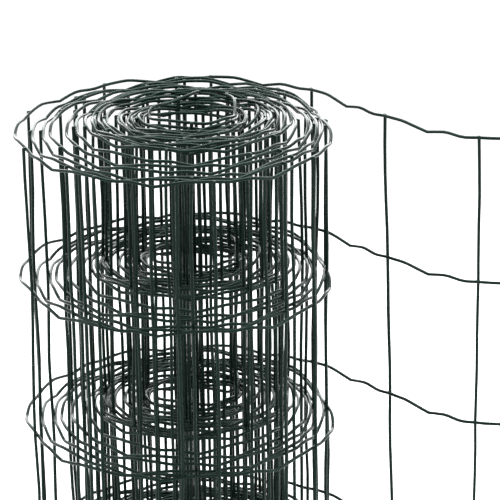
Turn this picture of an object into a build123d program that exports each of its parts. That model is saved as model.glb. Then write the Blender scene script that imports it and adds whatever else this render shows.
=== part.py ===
from build123d import *
import math
import os

# A roll of welded wire fencing that stands on its end, with the free end of the mesh leaving it.
# Millimetres, +Z up. The origin is on the floor on the axis of the bore. The free end leaves the
# roll at its back, +Y, and runs out to +X.

# Wire and mesh
wire_diameter = 2.2  # over the plastic coat
wire_sides = 6
cell_width = 75.0  # from picket to picket
cell_height = 100.0  # from line wire to line wire
cell_rows = 10
picket_overhang = 1.5  # picket past the centre of the last line wire
weld_sink = 0.4  # how deep two crossing wires are pressed into each other

# Crimp of a line wire, as height at a share of the cell's width, counted towards the free end
crimp_shoulder = (0.23, 0.35)
crimp_notch = (0.495, -3.3)
crimp_bump = (0.69, -0.2)
crimp_dip = (0.87, -1.4)

# Winding
turns = 19
half_turn_sides = 12  # the mesh bends at its wires, so a half turn is this many straight stretches
bore_diameter = 46.0
back_gap = 0.48  # between neighbouring turns at the back, where they lie close
front_gap = 4.0  # between neighbouring turns at the front, where they are loose
end_groove_depth = 6.0  # how deep the gaps between the turns show on the roll's ends

# Free end
seat_length = 3.0  # line wire let into the roll
first_picket = 18.0  # from where the free end leaves the roll
free_pickets = 5
leave_radius = 115.0
leave_turn = 46.0
slant_length = 104.0
flatten_radius = 100.0
end_stub = 5.0  # line wire past the last picket
floor_clearance = 0.4  # under the notches of the lowest line wire

# Sizes that follow
wire_radius = wire_diameter / 2
hexagon_flat = wire_radius * math.cos(math.pi / wire_sides)
picket_offset = 2 * hexagon_flat - weld_sink
foot = wire_radius - crimp_notch[1] + floor_clearance
row_heights = [foot + row * cell_height for row in range(cell_rows + 1)]
roll_height = row_heights[-1] + picket_overhang
inner_radius = bore_diameter / 2 + wire_radius
back_pitch = wire_diameter + back_gap
front_pitch = wire_diameter + front_gap
mesh_length = first_picket + (free_pickets - 1) * cell_width + end_stub


def crossing(half_turns):
    """Where the winding crosses the Y axis, that many half turns out from its inner end."""
    side = 1 if half_turns % 2 == 0 else -1
    pitch = back_pitch if side > 0 else front_pitch
    return side * (inner_radius + (half_turns // 2) * pitch)


def half_turn(number, offset):
    """Corners from one crossing to the next, moved outwards from the wire's centre line."""
    start, end = crossing(number), crossing(number + 1)
    side = 1 if start > end else -1
    reach = side * (abs(start - end) / 2 + offset)
    angles = [math.pi * corner / half_turn_sides for corner in range(half_turn_sides + 1)]
    return [
        (reach * math.sin(angle), (start + end) / 2 + reach * math.cos(angle)) for angle in angles
    ]


def spiral(first, last, offset):
    """Corners of the half turns from one number up to another."""
    corners = [half_turn(number, offset)[:-1] for number in range(first, last)]
    return sum(corners, []) + [half_turn(last - 1, offset)[-1]]


half_turns = 2 * turns
leave_y = crossing(half_turns)


def roll_body():
    """The wound mesh as one solid: its last turn's outline, with the round bore."""
    last_turn = spiral(half_turns - 2, half_turns, wire_radius)
    body = extrude(make_face(Polyline(*last_turn, close=True)), roll_height)
    return body - Cylinder(
        bore_diameter / 2, roll_height, align=(Align.CENTER, Align.CENTER, Align.MIN)
    )


def end_groove():
    """The gap between neighbouring turns, from the bore to the step, as one spiral strip."""
    inner = spiral(0, half_turns - 2, wire_radius)
    outer = spiral(2, half_turns, -wire_radius)
    strip = make_face(Polyline(*inner, *reversed(outer), close=True))
    return extrude(strip, end_groove_depth)


def free_end_place(length):
    """Plan position and heading, in degrees, at a length along the free end."""
    leave_length = leave_radius * math.radians(leave_turn)
    flatten_length = flatten_radius * math.radians(leave_turn)
    angle = math.radians(leave_turn)
    slant_start = Vector(
        leave_radius * math.sin(angle), leave_y - leave_radius * (1 - math.cos(angle))
    )
    slant_way = Vector(math.cos(angle), -math.sin(angle))
    if length <= 0:
        return Vector(length, leave_y), 0.0
    if length <= leave_length:
        turned = length / leave_radius
        point = Vector(
            leave_radius * math.sin(turned), leave_y - leave_radius * (1 - math.cos(turned))
        )
        return point, -math.degrees(turned)
    if length <= leave_length + slant_length:
        return slant_start + slant_way * (length - leave_length), -leave_turn
    flatten_start = slant_start + slant_way * slant_length
    past = length - leave_length - slant_length
    left = max(angle - past / flatten_radius, 0)
    point = flatten_start + Vector(
        flatten_radius * (math.sin(angle) - math.sin(left)),
        -flatten_radius * (math.cos(left) - math.cos(angle)),
    )
    return point + Vector(max(past - flatten_length, 0), 0), -math.degrees(left)


def crimp_points():
    """Lengths along the free end and heights of the corners of one line wire."""
    shape = [(0.0, 0.0), crimp_shoulder, crimp_notch, crimp_bump, crimp_dip]
    corners = []
    for cell in range(-1, free_pickets):
        for share, height in shape:
            length = first_picket + (cell + share) * cell_width
            if 0 < length < mesh_length:
                corners.append((length, height))
    return [(-seat_length, crimp_dip[1])] + corners + [(mesh_length, 0.0)]


def line_wire():
    """One crimped line wire of the free end, from inside the roll to its cut end."""
    points = []
    for length, height in crimp_points():
        place = free_end_place(length)[0]
        points.append((place.X, place.Y, height))
    path = Polyline(*points)
    start = Plane(origin=points[0], x_dir=(0, 1, 0), z_dir=path % 0)
    section = start * RegularPolygon(wire_radius, wire_sides, rotation=30)
    return sweep(section, path, transition=Transition.RIGHT)


def picket(number):
    """One upright wire of the free end, on the outer side of the line wires."""
    place, heading = free_end_place(first_picket + number * cell_width)
    outwards = Vector(0, picket_offset).rotate(Axis.Z, heading)
    section = Rot(0, 0, heading) * RegularPolygon(wire_radius, wire_sides)
    bottom = row_heights[0] - picket_overhang
    rod = extrude(section, roll_height - bottom)
    return Pos(place.X + outwards.X, place.Y + outwards.Y, bottom) * rod


def fence_roll():
    """The whole roll, as the one piece of mesh that it is."""
    groove = end_groove()
    body = roll_body() - groove
    body -= Pos(0, 0, roll_height - end_groove_depth) * groove
    wire = line_wire()
    wires = [Pos(0, 0, height) * wire for height in row_heights]
    pickets = [picket(number) for number in range(free_pickets)]
    return body.fuse(*wires, *pickets)


os.makedirs("parts", exist_ok=True)
roll = fence_roll()
roll.label = "fence_roll"
export_step(roll, "parts/fence_roll.step")
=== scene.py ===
import math

import bpy
from bpy.props import FloatProperty, FloatVectorProperty, IntProperty, PointerProperty
from bpy.types import Operator, Panel, PropertyGroup
from mathutils import Matrix, Vector


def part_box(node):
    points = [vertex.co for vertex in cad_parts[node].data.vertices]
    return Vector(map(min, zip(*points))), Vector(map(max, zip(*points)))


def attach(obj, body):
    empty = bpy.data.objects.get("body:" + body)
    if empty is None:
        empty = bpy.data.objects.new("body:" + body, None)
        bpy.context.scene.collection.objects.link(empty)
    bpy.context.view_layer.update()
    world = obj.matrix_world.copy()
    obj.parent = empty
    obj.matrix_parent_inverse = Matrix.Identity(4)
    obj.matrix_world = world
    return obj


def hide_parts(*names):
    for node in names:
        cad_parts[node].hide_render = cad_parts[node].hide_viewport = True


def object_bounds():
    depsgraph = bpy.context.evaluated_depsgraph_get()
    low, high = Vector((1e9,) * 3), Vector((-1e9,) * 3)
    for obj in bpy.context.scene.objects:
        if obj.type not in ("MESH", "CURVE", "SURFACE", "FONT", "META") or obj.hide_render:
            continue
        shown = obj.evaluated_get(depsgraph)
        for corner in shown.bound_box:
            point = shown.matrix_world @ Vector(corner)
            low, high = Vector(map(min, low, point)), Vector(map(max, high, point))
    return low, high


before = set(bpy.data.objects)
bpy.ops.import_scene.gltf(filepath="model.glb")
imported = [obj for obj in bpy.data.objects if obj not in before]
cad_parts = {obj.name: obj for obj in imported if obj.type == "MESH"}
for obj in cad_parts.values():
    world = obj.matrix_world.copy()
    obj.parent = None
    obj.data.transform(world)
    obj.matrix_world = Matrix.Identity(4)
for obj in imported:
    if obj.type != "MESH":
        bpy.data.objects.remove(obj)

# A roll of welded wire fencing on its end. Metres, +Z up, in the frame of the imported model: the
# origin is on the floor on the bore's axis. The mesh is made flat, as it leaves the welding line,
# with X along it from the cut end of the free end inwards, and is then wound along its route.

bl_info = {
    "name": "Welded Fence Roll",
    "version": (1, 0, 0),
    "blender": (4, 5, 0),
    "location": "3D View > Sidebar > Fence Roll",
    "description": "Builds a roll of crimped, coated, welded wire fencing with its free end",
    "category": "Add Mesh",
}

CAD_LOW, CAD_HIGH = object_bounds()
ROLL_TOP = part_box("fence_roll")[1].z
MM = 0.001

# The route of the mesh in plan, in millimetres from the bore's axis, along the free end and the
# outermost turn, from the cut end inwards.
FREE_END_ROUTE = (
    (271.0, -66.0), (248.0, -65.5), (225.0, -64.5), (192.5, -60.6), (161.7, -39.0),
    (133.7, -12.0), (111.3, 18.6), (86.4, 45.2), (52.5, 65.7), (18.0, 75.0),
)
OUTER_TURN_ROUTE = (
    (-25.0, 73.5), (-54.0, 58.5), (-84.0, 32.5), (-99.0, 4.0), (-107.0, -36.0),
    (-96.5, -69.0), (-77.5, -103.5), (-50.0, -125.5), (-9.7, -135.0), (31.0, -132.0),
    (61.5, -119.5), (86.0, -90.5), (97.5, -54.0), (91.5, -15.0), (82.5, 19.0), (55.0, 51.0),
)
# Each further turn, in the same millimetres: how far it lies from the bore's axis at the back, on
# the left, in front and on the right.
INNER_TURNS = (
    (68.0, 95.5, 133.0, 92.5),
    (65.0, 87.5, 129.5, 88.0),
    (56.0, 83.5, 116.0, 84.5),
    (53.5, 75.5, 108.0, 82.5),
    (51.0, 67.5, 96.0, 76.0),
    (48.8, 61.5, 78.0, 73.0),
    (46.5, 58.0, 73.5, 69.0),
    (44.5, 56.0, 69.0, 65.0),
    (42.5, 53.5, 64.5, 61.0),
    (40.3, 51.5, 60.0, 58.5),
    (38.3, 49.0, 55.5, 56.3),
    (36.3, 42.5, 51.0, 54.0),
    (34.3, 38.5, 46.5, 43.5),
    (33.3, 35.0, 42.0, 42.5),
    (32.0, 33.0, 36.0, 41.5),
    (30.3, 30.5, 32.0, 39.5),
    (28.3, 28.0, 28.5, 37.5),
    (26.3, 25.5, 25.0, 50.0),
)
POINTS_PER_TURN = 4  # of the route, in each of these turns
# The inner end of the mesh, which crosses over the turns round it at the back.
INNER_END_ROUTE = (
    (22.0, 47.0), (1.0, 29.0), (-21.0, 0.0), (2.0, -23.0), (28.0, -16.0), (35.5, 10.0),
    (28.5, 34.0), (10.0, 37.0),
)
ROUTE_STEPS = 24  # of the route's curve from point to point

# How far the mesh has slipped down in the last of the inner turns, in millimetres: at the back of
# each turn and round the rest of it. Its foot stays on the floor, and its inner end hasn't slipped.
INNER_SINKS = (
    (1.3, 0.0), (2.6, 0.5), (4.5, 1.0), (5.2, 1.5), (6.0, 2.0), (7.4, 3.0), (8.2, 3.0),
    (8.8, 3.0), (9.4, 3.0), (10.4, 3.0),
)
SINK_STEPS = 63  # of the cage that lets those turns slip, along the mesh
SINK_LEVELS = 3  # of the same cage, from the foot of the mesh to its top
CAGE_FOOT = -0.25  # points of that cage lower than this, from its middle, stay where they are
CAGE_DEPTH = 0.1  # across the flat mesh

# How far the free end bulges outwards, in millimetres, at its first five pickets, one row for each
# line wire from the top one down. Further down it stays as it is at the last of these wires.
FREE_END_BULGES = (
    (0.0, -1.0, -2.0, -2.0, 0.0),
    (0.0, 3.5, 1.0, -1.0, 0.0),
    (0.0, 1.5, 4.5, 0.0, 0.0),
    (0.0, 2.0, 8.0, 2.0, 0.0),
)

# The crimp of a line wire, as share of the cell's width, counted inwards, and height in
# millimetres. Its corners are rounded over a share of the cell, but its notch is sharp.
CRIMP = (
    (0.0, 0.0), (0.13, -1.4), (0.31, -0.2), (0.505, -3.3), (0.77, 0.35), (1.0, 0.0),
)
CRIMP_NOTCH = CRIMP[3][0]
CRIMP_ROUNDING = 0.04
ROUNDING_SAMPLES = 5
NOTCH_EDGE = 0.012  # share of the cell from the notch to the rings of corners beside it
CRIMP_STEPS = 18
MERGE_DISTANCE = 0.00005  # corners this near, where one cell's wire meets the next, become one

WIRE_SIDES = 8
SMOOTH_ANGLE = math.radians(50)
TOP_WIRE_DEPTH = 0.0015  # of the top line wire's centre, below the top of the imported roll
PICKET_STEPS_PER_ROW = 5
PICKET_END_WIDTH = 0.45  # of the wire's width, at the tip of a rounded end
PICKET_END_HEIGHT = 0.0005  # of a rounded end
BEAD_RADIUS = 0.6  # of the wire's diameter
BEAD_STRETCH = (1.2, 0.95, 0.95)
BEAD_SEGMENTS = 8
BEAD_RINGS = 5

# Waviness of the mesh, from hand and handling: axis, reach and size of the bends, in metres.
WAVES = (("X", 0.0028, 0.090), ("Y", 0.0050, 0.110), ("Z", 0.0018, 0.160))

# Coat: its gloss, the patches where its colour and roughness change, and the fine dimples in it.
COAT_IOR = 1.33
COAT_GLOSS_TINT = (0.6, 1.0, 0.84, 1.0)
PATCH_SCALE = 40.0
PATCH_DETAIL = 3.0
PATCH_EDGES = (0.35, 0.75)
PATCH_ROUGHNESS = (-0.06, 0.08)
DIMPLE_SCALE = 900.0
DIMPLE_DETAIL = 1.0
DIMPLE_STRENGTH = 0.06
DIMPLE_DEPTH = 0.0002

# Stage: how bright the floor and the backdrop look, the even light that reaches the roll, what the
# soft boxes look at and, for each of them, its name, place, width, height and setting of its power.
WHITE = (1.0, 1.0, 1.0, 1.0)
FLOOR_GLOW = (0.75, 0.75, 0.75, 1.0)
BACKDROP_STRENGTH = 1.0
EVEN_LIGHT_STRENGTH = 0.35
LAMP_TARGET = Vector((0.0, -0.03, ROLL_TOP * 0.9))
SOFT_BOXES = (
    ("top_box", (0.1, 0.6, 2.6), 1.4, 1.4, "top_light"),
    ("back_box", (0.0, 2.5, 1.6), 2.6, 1.4, "back_light"),
    ("left_box", (-2.0, -0.6, 1.7), 1.2, 1.2, "side_light"),
    ("right_box", (2.0, -0.6, 1.7), 1.2, 1.2, "side_light"),
)

# Camera: its place from the bore's axis, its height above the top line wire and its turn.
CAMERA_PLACE = (0.045, -1.773)
CAMERA_ABOVE_ROLL = 0.593
CAMERA_PITCH = math.radians(21.30)
CAMERA_YAW = math.radians(0.018)
CAMERA_ROLL = math.radians(-0.72)
CAMERA_LENS = 204.4
CAMERA_SENSOR = 36.0
CAMERA_REACH = 100.0


class FenceMeshSettings(PropertyGroup):
    """Sizes of the wire and of the cells."""

    wire_diameter: FloatProperty(
        name="Wire diameter", description="Wire with its plastic coat",
        default=0.0022, min=0.0005, unit="LENGTH",
    )
    cell_width: FloatProperty(
        name="Cell width", description="From picket to picket",
        default=0.075, min=0.02, unit="LENGTH",
    )
    cell_height: FloatProperty(
        name="Cell height", description="From line wire to line wire",
        default=0.1, min=0.02, unit="LENGTH",
    )
    rows: IntProperty(
        name="Rows", description="Cells from the bottom to the top of the mesh",
        default=10, min=1,
    )
    picket_overhang: FloatProperty(
        name="Picket overhang", description="Picket past the centre of the outer line wires",
        default=0.0009, min=0.0, unit="LENGTH",
    )
    end_margin: FloatProperty(
        name="End margin", description="Route left free before the first picket and after the last",
        default=0.005, min=0.0, unit="LENGTH",
    )
    weld_sink: FloatProperty(
        name="Weld sink", description="How deep two crossing wires are pressed together",
        default=0.0004, min=0.0, unit="LENGTH",
    )


class FenceCoatSettings(PropertyGroup):
    """Finish of the plastic coat."""

    coat_color: FloatVectorProperty(
        name="Coat colour", description="Colour of the plastic coat",
        subtype="COLOR", size=3, min=0.0, max=1.0, default=(0.0015, 0.0085, 0.006),
    )
    thin_coat_color: FloatVectorProperty(
        name="Thin coat colour", description="Colour where the coat is thin or rubbed",
        subtype="COLOR", size=3, min=0.0, max=1.0, default=(0.004, 0.013, 0.010),
    )
    roughness: FloatProperty(
        name="Roughness", description="Roughness of the coat", subtype="FACTOR",
        default=0.26, min=0.0, max=1.0,
    )


class FenceStageSettings(PropertyGroup):
    """Floor, light and background."""

    floor_size: FloatProperty(
        name="Floor size", description="Side of the square floor",
        default=40.0, min=1.0, unit="LENGTH",
    )
    floor_color: FloatVectorProperty(
        name="Floor colour", description="Colour of the floor",
        subtype="COLOR", size=3, min=0.0, max=1.0, default=(0.8, 0.8, 0.8),
    )
    top_light: FloatProperty(
        name="Top light", description="Power of the soft box above the roll",
        default=30.0, min=0.0, unit="POWER",
    )
    back_light: FloatProperty(
        name="Back light", description="Power of the soft box behind the roll",
        default=65.0, min=0.0, unit="POWER",
    )
    side_light: FloatProperty(
        name="Side light", description="Power of each soft box beside the roll",
        default=15.0, min=0.0, unit="POWER",
    )


def deselect_all():
    """Nothing stays selected, in object mode."""
    if bpy.context.object and bpy.context.object.mode != "OBJECT":
        bpy.ops.object.mode_set(mode="OBJECT")
    bpy.ops.object.select_all(action="DESELECT")


def select_only(piece):
    """Selects one piece and makes it the active one."""
    deselect_all()
    piece.select_set(True)
    bpy.context.view_layer.objects.active = piece


def apply_modifier(piece, kind, **settings):
    """Adds a modifier to the active piece with these settings and applies it."""
    modifier = piece.modifiers.new(kind.title(), kind)
    for name, value in settings.items():
        setattr(modifier, name, value)
    bpy.ops.object.modifier_apply(modifier=modifier.name)


def top_wire_height():
    """Height of the top line wire."""
    return ROLL_TOP - TOP_WIRE_DEPTH


def lowest_wire_height():
    """Height of the lowest line wire, whose notches just clear the floor."""
    sizes = bpy.context.scene.fence_mesh
    return top_wire_height() - sizes.rows * sizes.cell_height


def route_points():
    """All points of the route in plan, from the cut end to the inner end, in metres."""
    points = list(FREE_END_ROUTE + OUTER_TURN_ROUTE)
    for back, left, front, right in INNER_TURNS:
        middle_x = (right - left) / 2
        middle_y = (back - front) / 2
        points += [
            (middle_x, back), (-left, middle_y), (middle_x, -front), (right, middle_y),
        ]
    points += INNER_END_ROUTE
    return [Vector((x * MM, y * MM, 0.0)) for x, y in points]


def add_route():
    """The curve that the flat mesh is wound along."""
    deselect_all()
    bpy.ops.curve.primitive_bezier_curve_add()
    route = bpy.context.object
    route.name = "winding_route"
    route.data.dimensions = "3D"
    route.data.twist_mode = "Z_UP"
    route.data.resolution_u = ROUTE_STEPS
    route.data.use_radius = False
    spline = route.data.splines[0]
    places = route_points()
    spline.bezier_points.add(len(places) - len(spline.bezier_points))
    for point, place in zip(spline.bezier_points, places):
        point.co = place
        point.handle_left_type = "AUTO"
        point.handle_right_type = "AUTO"
    return route


def cell_count(route):
    """Whole cells that the route has room for."""
    sizes = bpy.context.scene.fence_mesh
    length = route.data.splines[0].calc_length()
    return int((length - 2 * sizes.end_margin) / sizes.cell_width)


def wave_texture(name, size):
    """Smooth noise for the waviness of the wires."""
    texture = bpy.data.textures.new(name, "CLOUDS")
    texture.noise_scale = size
    texture.noise_depth = 1
    texture.noise_basis = "BLENDER_ORIGINAL"
    return texture


def add_waves(piece):
    """Bends the flat mesh a little along, across and up, as handling does."""
    for axis, reach, size in WAVES:
        name = "waves_" + axis.lower()
        texture = bpy.data.textures.get(name) or wave_texture(name, size)
        apply_modifier(
            piece, "DISPLACE", texture=texture, texture_coords="LOCAL", direction=axis,
            strength=reach, mid_level=0.5,
        )


def route_sinks():
    """How far the mesh has slipped down at each point of the route, in metres."""
    sinks = []
    for back, rest in INNER_SINKS:
        sinks += [back * MM] + [rest * MM] * (POINTS_PER_TURN - 1)
    sinks += [0.0] * len(INNER_END_ROUTE)
    return [0.0] * (len(route_points()) - len(sinks)) + sinks


def route_lengths(route):
    """Length along the route at each of its points, in metres."""
    places = [vertex.co.copy() for vertex in route.to_mesh().vertices]
    route.to_mesh_clear()
    lengths = [0.0]
    for start, end in zip(places, places[1:]):
        lengths.append(lengths[-1] + (end - start).length)
    return lengths[::ROUTE_STEPS]


def sink_at(length, lengths, sinks):
    """How far the mesh has slipped down at a length along it."""
    for start, end, low, high in zip(lengths, lengths[1:], sinks, sinks[1:]):
        if start <= length <= end:
            return low + (high - low) * (length - start) / (end - start)
    return sinks[-1]


def add_cage(name, along, upwards, steps):
    """A cage round a stretch of the flat mesh, with this many points along it and upwards."""
    (start, end), (low, high) = along, upwards
    deselect_all()
    bpy.ops.object.add(
        type="LATTICE", location=((start + end) / 2, 0.0, (low + high) / 2),
    )
    cage = bpy.context.object
    cage.name = name
    cage.scale = (end - start, CAGE_DEPTH, high - low)
    cage.data.points_u, cage.data.points_w = steps
    cage.data.points_v = 2
    cage.data.interpolation_type_u = "KEY_CARDINAL"
    cage.data.interpolation_type_w = "KEY_LINEAR"
    return cage


def add_sink_cage(route):
    """The cage that lets the flat mesh slip down where its innermost turns will be."""
    lengths, sinks = route_lengths(route), route_sinks()
    first = len(sinks) - len(INNER_END_ROUTE) - POINTS_PER_TURN * len(INNER_SINKS) - 1
    start, end = lengths[first], lengths[-1]
    cage = add_cage("sink_cage", (start, end), (0.0, ROLL_TOP), (SINK_STEPS + 1, SINK_LEVELS))
    for point in cage.data.points:
        if point.co.z > CAGE_FOOT:
            length = start + (point.co.x + 0.5) * (end - start)
            point.co_deform.z -= sink_at(length, lengths, sinks) / ROLL_TOP
    bpy.context.view_layer.update()
    return cage


def add_bulge_cage():
    """The cage that bends the flat mesh a little out of its plane at the free end."""
    sizes = bpy.context.scene.fence_mesh
    rows, columns = len(FREE_END_BULGES), len(FREE_END_BULGES[0])
    top = top_wire_height()
    along = (sizes.end_margin, sizes.end_margin + (columns - 1) * sizes.cell_width)
    upwards = (top - (rows - 1) * sizes.cell_height, top)
    cage = add_cage("bulge_cage", along, upwards, (columns, rows))
    for point in cage.data.points:
        column = round((point.co.x + 0.5) * (columns - 1))
        row = round((0.5 - point.co.z) * (rows - 1))
        point.co_deform.y -= FREE_END_BULGES[row][column] * MM / CAGE_DEPTH
    bpy.context.view_layer.update()
    return cage


def add_winding_tools():
    """The route, the cages that bend the flat mesh first, and the cells there is room for."""
    route = add_route()
    cages = (add_sink_cage(route), add_bulge_cage())
    return route, cages, cell_count(route)


def wind(piece, route, cages):
    """Gives a flat piece its waviness, bends it by the cages and winds it along the route."""
    add_waves(piece)
    for cage in cages:
        apply_modifier(piece, "LATTICE", object=cage)
    apply_modifier(piece, "CURVE", object=route, deform_axis="POS_X")


def remove_tools(*tools):
    """Takes away the objects that only helped to shape a piece."""
    for tool in tools:
        bpy.data.objects.remove(tool)


def finish_piece(piece, name):
    """Smooth faces, the coat, the body it rides on and the node it stands for."""
    piece.name = name
    piece.data.name = name
    bpy.ops.object.shade_smooth_by_angle(angle=SMOOTH_ANGLE)
    piece.data.materials.clear()
    piece.data.materials.append(coat_material())
    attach(piece, "root")
    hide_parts("fence_roll")


def crimp_height(share):
    """Height of the crimp, in metres, at a share of the cell, with its corners rounded."""
    total = 0.0
    rounding = min(CRIMP_ROUNDING, abs(share - CRIMP_NOTCH))
    for step in range(ROUNDING_SAMPLES):
        place = share + rounding * (2 * step / (ROUNDING_SAMPLES - 1) - 1)
        place %= 1.0
        for (start, low), (end, high) in zip(CRIMP, CRIMP[1:]):
            if start <= place <= end:
                total += low + (high - low) * (place - start) / (end - start)
                break
    return total / ROUNDING_SAMPLES * MM


def crimp_shares():
    """Shares of the cell at which a line wire has a ring of corners."""
    shares = {step / CRIMP_STEPS for step in range(CRIMP_STEPS + 1)}
    shares = {share for share in shares if abs(share - CRIMP_NOTCH) > CRIMP_ROUNDING}
    return sorted(shares | {CRIMP_NOTCH - NOTCH_EDGE, CRIMP_NOTCH, CRIMP_NOTCH + NOTCH_EDGE})


def extrude_by(way):
    """Extrudes the selected ring by a vector."""
    bpy.ops.mesh.extrude_region_move(TRANSFORM_OT_translate={"value": tuple(way)})


def widen_ring(factor):
    """Scales the selected ring about its own middle."""
    bpy.ops.transform.resize(value=(factor, factor, 1.0))


def close_ends():
    """Fills the open ring at each end of the active tube."""
    bpy.ops.object.mode_set(mode="EDIT")
    bpy.ops.mesh.select_all(action="DESELECT")
    bpy.ops.mesh.select_mode(type="EDGE")
    bpy.ops.mesh.select_non_manifold()
    bpy.ops.mesh.edge_face_add()
    bpy.ops.object.mode_set(mode="OBJECT")


def crimped_cell():
    """One cell's length of a line wire, flat, from its picket on."""
    sizes = bpy.context.scene.fence_mesh
    deselect_all()
    bpy.ops.mesh.primitive_circle_add(
        vertices=WIRE_SIDES, radius=sizes.wire_diameter / 2,
        location=(0, 0, 0), rotation=(0, math.pi / 2, 0),
    )
    cell = bpy.context.object
    bpy.ops.object.transform_apply(location=True, rotation=True, scale=True)
    bpy.ops.object.mode_set(mode="EDIT")
    bpy.ops.mesh.select_all(action="SELECT")
    shares = crimp_shares()
    for share, following in zip(shares, shares[1:]):
        step = (following - share) * sizes.cell_width
        rise = crimp_height(following) - crimp_height(share)
        extrude_by((step, 0.0, rise))
    bpy.ops.mesh.select_all(action="SELECT")
    bpy.ops.mesh.normals_make_consistent(inside=False)
    bpy.ops.object.mode_set(mode="OBJECT")
    return cell


def repeat(piece, count, way, **settings):
    """Repeats the active piece, each copy this way from the one before."""
    apply_modifier(
        piece, "ARRAY", count=count, use_relative_offset=False, use_constant_offset=True,
        constant_offset_displace=way, **settings,
    )


def place_mesh(piece, way):
    """Moves a piece's mesh, with its object left at the origin."""
    piece.data.transform(Matrix.Translation(way))


def copy_piece(piece):
    """A copy of a piece with its own mesh."""
    select_only(piece)
    bpy.ops.object.duplicate(linked=False)
    return bpy.context.object


class FENCE_OT_line_wires(Operator):
    """Makes the crimped line wires: one flat, then copied upwards and wound"""

    bl_idname = "fence.line_wires"
    bl_label = "Line Wires"

    def execute(self, context):
        sizes = context.scene.fence_mesh
        route, cages, cells = add_winding_tools()
        flat = crimped_cell()
        select_only(flat)
        repeat(
            flat, cells, (sizes.cell_width, 0.0, 0.0),
            use_merge_vertices=True, merge_threshold=MERGE_DISTANCE,
        )
        close_ends()
        place_mesh(flat, (sizes.end_margin, 0.0, lowest_wire_height()))
        for row in range(sizes.rows + 1):
            wire = copy_piece(flat)
            place_mesh(wire, (0.0, 0.0, row * sizes.cell_height))
            wind(wire, route, cages)
            finish_piece(wire, f"line_wire_{row + 1:02d}")
        remove_tools(flat, route, *cages)
        return {"FINISHED"}


class FENCE_OT_pickets(Operator):
    """Makes the pickets: one modelled, then repeated along the mesh and wound"""

    bl_idname = "fence.pickets"
    bl_label = "Pickets"

    def execute(self, context):
        sizes = context.scene.fence_mesh
        route, cages, cells = add_winding_tools()
        deselect_all()
        bpy.ops.mesh.primitive_circle_add(
            vertices=WIRE_SIDES, radius=sizes.wire_diameter / 2 * PICKET_END_WIDTH,
            location=(0, 0, 0),
        )
        picket = context.object
        bottom = lowest_wire_height() - sizes.picket_overhang
        outwards = sizes.weld_sink - sizes.wire_diameter
        place_mesh(picket, (sizes.end_margin, outwards, bottom))
        straight = sizes.picket_overhang - PICKET_END_HEIGHT
        bpy.ops.object.mode_set(mode="EDIT")
        bpy.ops.mesh.select_all(action="SELECT")
        extrude_by((0.0, 0.0, PICKET_END_HEIGHT))
        widen_ring(1 / PICKET_END_WIDTH)
        extrude_by((0.0, 0.0, straight))
        for _ in range(sizes.rows * PICKET_STEPS_PER_ROW):
            extrude_by((0.0, 0.0, sizes.cell_height / PICKET_STEPS_PER_ROW))
        extrude_by((0.0, 0.0, straight))
        extrude_by((0.0, 0.0, PICKET_END_HEIGHT))
        widen_ring(PICKET_END_WIDTH)
        bpy.ops.mesh.select_all(action="SELECT")
        bpy.ops.mesh.normals_make_consistent(inside=False)
        close_ends()
        select_only(picket)
        repeat(picket, cells + 1, (sizes.cell_width, 0.0, 0.0))
        wind(picket, route, cages)
        finish_piece(picket, "pickets")
        remove_tools(route, *cages)
        return {"FINISHED"}


class FENCE_OT_welds(Operator):
    """Makes the beads of coat round the welds, one at each crossing"""

    bl_idname = "fence.welds"
    bl_label = "Weld Beads"

    def execute(self, context):
        sizes = context.scene.fence_mesh
        route, cages, cells = add_winding_tools()
        deselect_all()
        bpy.ops.mesh.primitive_uv_sphere_add(
            segments=BEAD_SEGMENTS, ring_count=BEAD_RINGS,
            radius=sizes.wire_diameter * BEAD_RADIUS, location=(0, 0, 0),
        )
        bead = context.object
        bpy.ops.object.mode_set(mode="EDIT")
        bpy.ops.mesh.select_all(action="SELECT")
        bpy.ops.transform.resize(value=BEAD_STRETCH)
        bpy.ops.object.mode_set(mode="OBJECT")
        outwards = (sizes.weld_sink - sizes.wire_diameter) / 2
        place_mesh(bead, (sizes.end_margin, outwards, lowest_wire_height()))
        select_only(bead)
        repeat(bead, cells + 1, (sizes.cell_width, 0.0, 0.0))
        repeat(bead, sizes.rows + 1, (0.0, 0.0, sizes.cell_height))
        wind(bead, route, cages)
        finish_piece(bead, "weld_beads")
        remove_tools(route, *cages)
        return {"FINISHED"}


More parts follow.
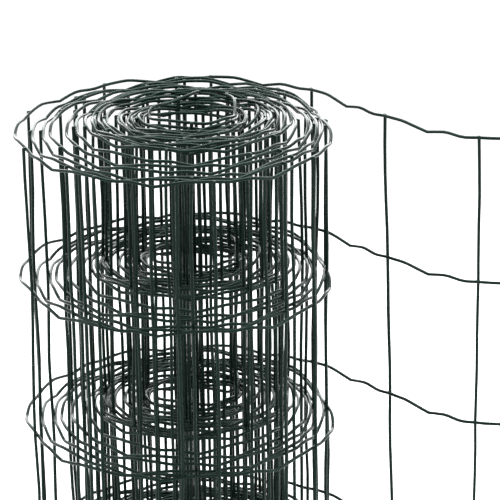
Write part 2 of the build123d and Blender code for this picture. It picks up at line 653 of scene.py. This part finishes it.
def coat_material():
    """Semi-gloss dark green plastic, a little uneven in colour, gloss and surface."""
    made = bpy.data.materials.get("green_coat")
    if made:
        return made
    coat = bpy.context.scene.fence_coat
    material = bpy.data.materials.new("green_coat")
    material.use_nodes = True
    nodes, links = material.node_tree.nodes, material.node_tree.links
    shader = nodes["Principled BSDF"]
    shader.inputs["IOR"].default_value = COAT_IOR
    shader.inputs["Specular Tint"].default_value = COAT_GLOSS_TINT
    place = nodes.new("ShaderNodeTexCoord")
    patches = nodes.new("ShaderNodeTexNoise")
    patches.inputs["Scale"].default_value = PATCH_SCALE
    patches.inputs["Detail"].default_value = PATCH_DETAIL
    links.new(place.outputs["Object"], patches.inputs["Vector"])
    shade = nodes.new("ShaderNodeValToRGB")
    colours = (coat.coat_color, coat.thin_coat_color)
    for stop, edge, colour in zip(shade.color_ramp.elements, PATCH_EDGES, colours):
        stop.position = edge
        stop.color = (*colour, 1.0)
    links.new(patches.outputs["Fac"], shade.inputs["Fac"])
    links.new(shade.outputs["Color"], shader.inputs["Base Color"])
    gloss = nodes.new("ShaderNodeMapRange")
    gloss.inputs["To Min"].default_value = coat.roughness + PATCH_ROUGHNESS[0]
    gloss.inputs["To Max"].default_value = coat.roughness + PATCH_ROUGHNESS[1]
    links.new(patches.outputs["Fac"], gloss.inputs["Value"])
    links.new(gloss.outputs["Result"], shader.inputs["Roughness"])
    dimples = nodes.new("ShaderNodeTexNoise")
    dimples.inputs["Scale"].default_value = DIMPLE_SCALE
    dimples.inputs["Detail"].default_value = DIMPLE_DETAIL
    links.new(place.outputs["Object"], dimples.inputs["Vector"])
    relief = nodes.new("ShaderNodeBump")
    relief.inputs["Strength"].default_value = DIMPLE_STRENGTH
    relief.inputs["Distance"].default_value = DIMPLE_DEPTH
    links.new(dimples.outputs["Fac"], relief.inputs["Height"])
    links.new(relief.outputs["Normal"], shader.inputs["Normal"])
    return material


def seen_directly(nodes, links):
    """Light path value that is 1 for camera, glossy and transmission rays."""
    path = nodes.new("ShaderNodeLightPath")
    seen = path.outputs["Is Camera Ray"]
    for ray in ("Is Glossy Ray", "Is Transmission Ray"):
        either = nodes.new("ShaderNodeMath")
        either.operation = "MAXIMUM"
        links.new(seen, either.inputs[0])
        links.new(path.outputs[ray], either.inputs[1])
        seen = either.outputs[0]
    return seen


def floor_material():
    """Pale floor that shows as white and keeps the roll's shadow."""
    material = bpy.data.materials.new("pale_floor")
    material.use_nodes = True
    nodes, links = material.node_tree.nodes, material.node_tree.links
    nodes.remove(nodes["Principled BSDF"])
    paint = nodes.new("ShaderNodeBsdfDiffuse")
    paint.inputs["Color"].default_value = (*bpy.context.scene.fence_stage.floor_color, 1.0)
    glow = nodes.new("ShaderNodeEmission")
    glow.inputs["Color"].default_value = FLOOR_GLOW
    links.new(seen_directly(nodes, links), glow.inputs["Strength"])
    both = nodes.new("ShaderNodeAddShader")
    links.new(paint.outputs[0], both.inputs[0])
    links.new(glow.outputs[0], both.inputs[1])
    links.new(both.outputs[0], nodes["Material Output"].inputs["Surface"])
    return material


def studio_world():
    """Soft even light, seen as white behind the roll."""
    world = bpy.data.worlds.new("studio")
    bpy.context.scene.world = world
    world.use_nodes = True
    nodes, links = world.node_tree.nodes, world.node_tree.links
    light = nodes["Background"]
    light.inputs["Color"].default_value = WHITE
    light.inputs["Strength"].default_value = EVEN_LIGHT_STRENGTH
    backdrop = nodes.new("ShaderNodeBackground")
    backdrop.inputs["Color"].default_value = WHITE
    backdrop.inputs["Strength"].default_value = BACKDROP_STRENGTH
    choice = nodes.new("ShaderNodeMixShader")
    links.new(seen_directly(nodes, links), choice.inputs["Fac"])
    links.new(light.outputs[0], choice.inputs[1])
    links.new(backdrop.outputs[0], choice.inputs[2])
    links.new(choice.outputs[0], nodes["World Output"].inputs["Surface"])


def add_soft_box(name, place, width, height, power):
    """An area lamp, out of the camera's sight, that looks at the top of the roll."""
    bpy.ops.object.light_add(type="AREA", location=place)
    lamp = bpy.context.object
    lamp.name = name
    lamp.visible_camera = False
    lamp.data.shape = "RECTANGLE"
    lamp.data.size = width
    lamp.data.size_y = height
    lamp.data.energy = power
    lamp.rotation_euler = (LAMP_TARGET - Vector(place)).to_track_quat("-Z", "Y").to_euler()


def add_camera():
    """The camera, where the photo was taken from."""
    place = (*CAMERA_PLACE, top_wire_height() + CAMERA_ABOVE_ROLL)
    bpy.ops.object.camera_add(location=place)
    camera = bpy.context.object
    turn = Matrix.Rotation(CAMERA_YAW, 4, "Z")
    turn @= Matrix.Rotation(math.pi / 2 - CAMERA_PITCH, 4, "X")
    turn @= Matrix.Rotation(CAMERA_ROLL, 4, "Z")
    camera.rotation_euler = turn.to_euler()
    camera.data.lens = CAMERA_LENS
    camera.data.sensor_width = CAMERA_SENSOR
    camera.data.clip_end = CAMERA_REACH
    bpy.context.scene.camera = camera


class FENCE_OT_stage(Operator):
    """Makes the floor, the background, the lamps and the camera"""

    bl_idname = "fence.stage"
    bl_label = "Stage"

    def execute(self, context):
        stage = context.scene.fence_stage
        deselect_all()
        bpy.ops.mesh.primitive_plane_add(size=stage.floor_size, location=(0, 0, CAD_LOW.z))
        floor = context.object
        floor.name = "floor"
        floor.data.materials.append(floor_material())
        studio_world()
        for name, place, width, height, power in SOFT_BOXES:
            add_soft_box(name, place, width, height, getattr(stage, power))
        add_camera()
        context.scene.view_settings.view_transform = "Standard"
        return {"FINISHED"}


class FENCE_PT_panel(Panel):
    """Sidebar panel with the roll's pieces and sizes"""

    bl_idname = "FENCE_PT_panel"
    bl_label = "Fence Roll"
    bl_space_type = "VIEW_3D"
    bl_region_type = "UI"
    bl_category = "Fence Roll"

    def draw(self, context):
        column = self.layout.column()
        for settings, group in SETTINGS.items():
            for name in group.__annotations__:
                column.prop(getattr(context.scene, settings), name)
        for piece in PIECES:
            column.operator(piece.bl_idname)


SETTINGS = {
    "fence_mesh": FenceMeshSettings,
    "fence_coat": FenceCoatSettings,
    "fence_stage": FenceStageSettings,
}
PIECES = (FENCE_OT_line_wires, FENCE_OT_pickets, FENCE_OT_welds, FENCE_OT_stage)
CLASSES = (*SETTINGS.values(), *PIECES, FENCE_PT_panel)


def register():
    """Makes the settings, the operators and the panel known to Blender."""
    for made in CLASSES:
        bpy.utils.register_class(made)
    for name, group in SETTINGS.items():
        setattr(bpy.types.Scene, name, PointerProperty(type=group))


def unregister():
    """Takes the settings, the operators and the panel away again."""
    for name in SETTINGS:
        delattr(bpy.types.Scene, name)
    for made in reversed(CLASSES):
        bpy.utils.unregister_class(made)


def main():
    """Builds the roll and its stage."""
    register()
    bpy.ops.fence.line_wires()
    bpy.ops.fence.pickets()
    bpy.ops.fence.welds()
    bpy.ops.fence.stage()


if __name__ == "__main__":
    main()
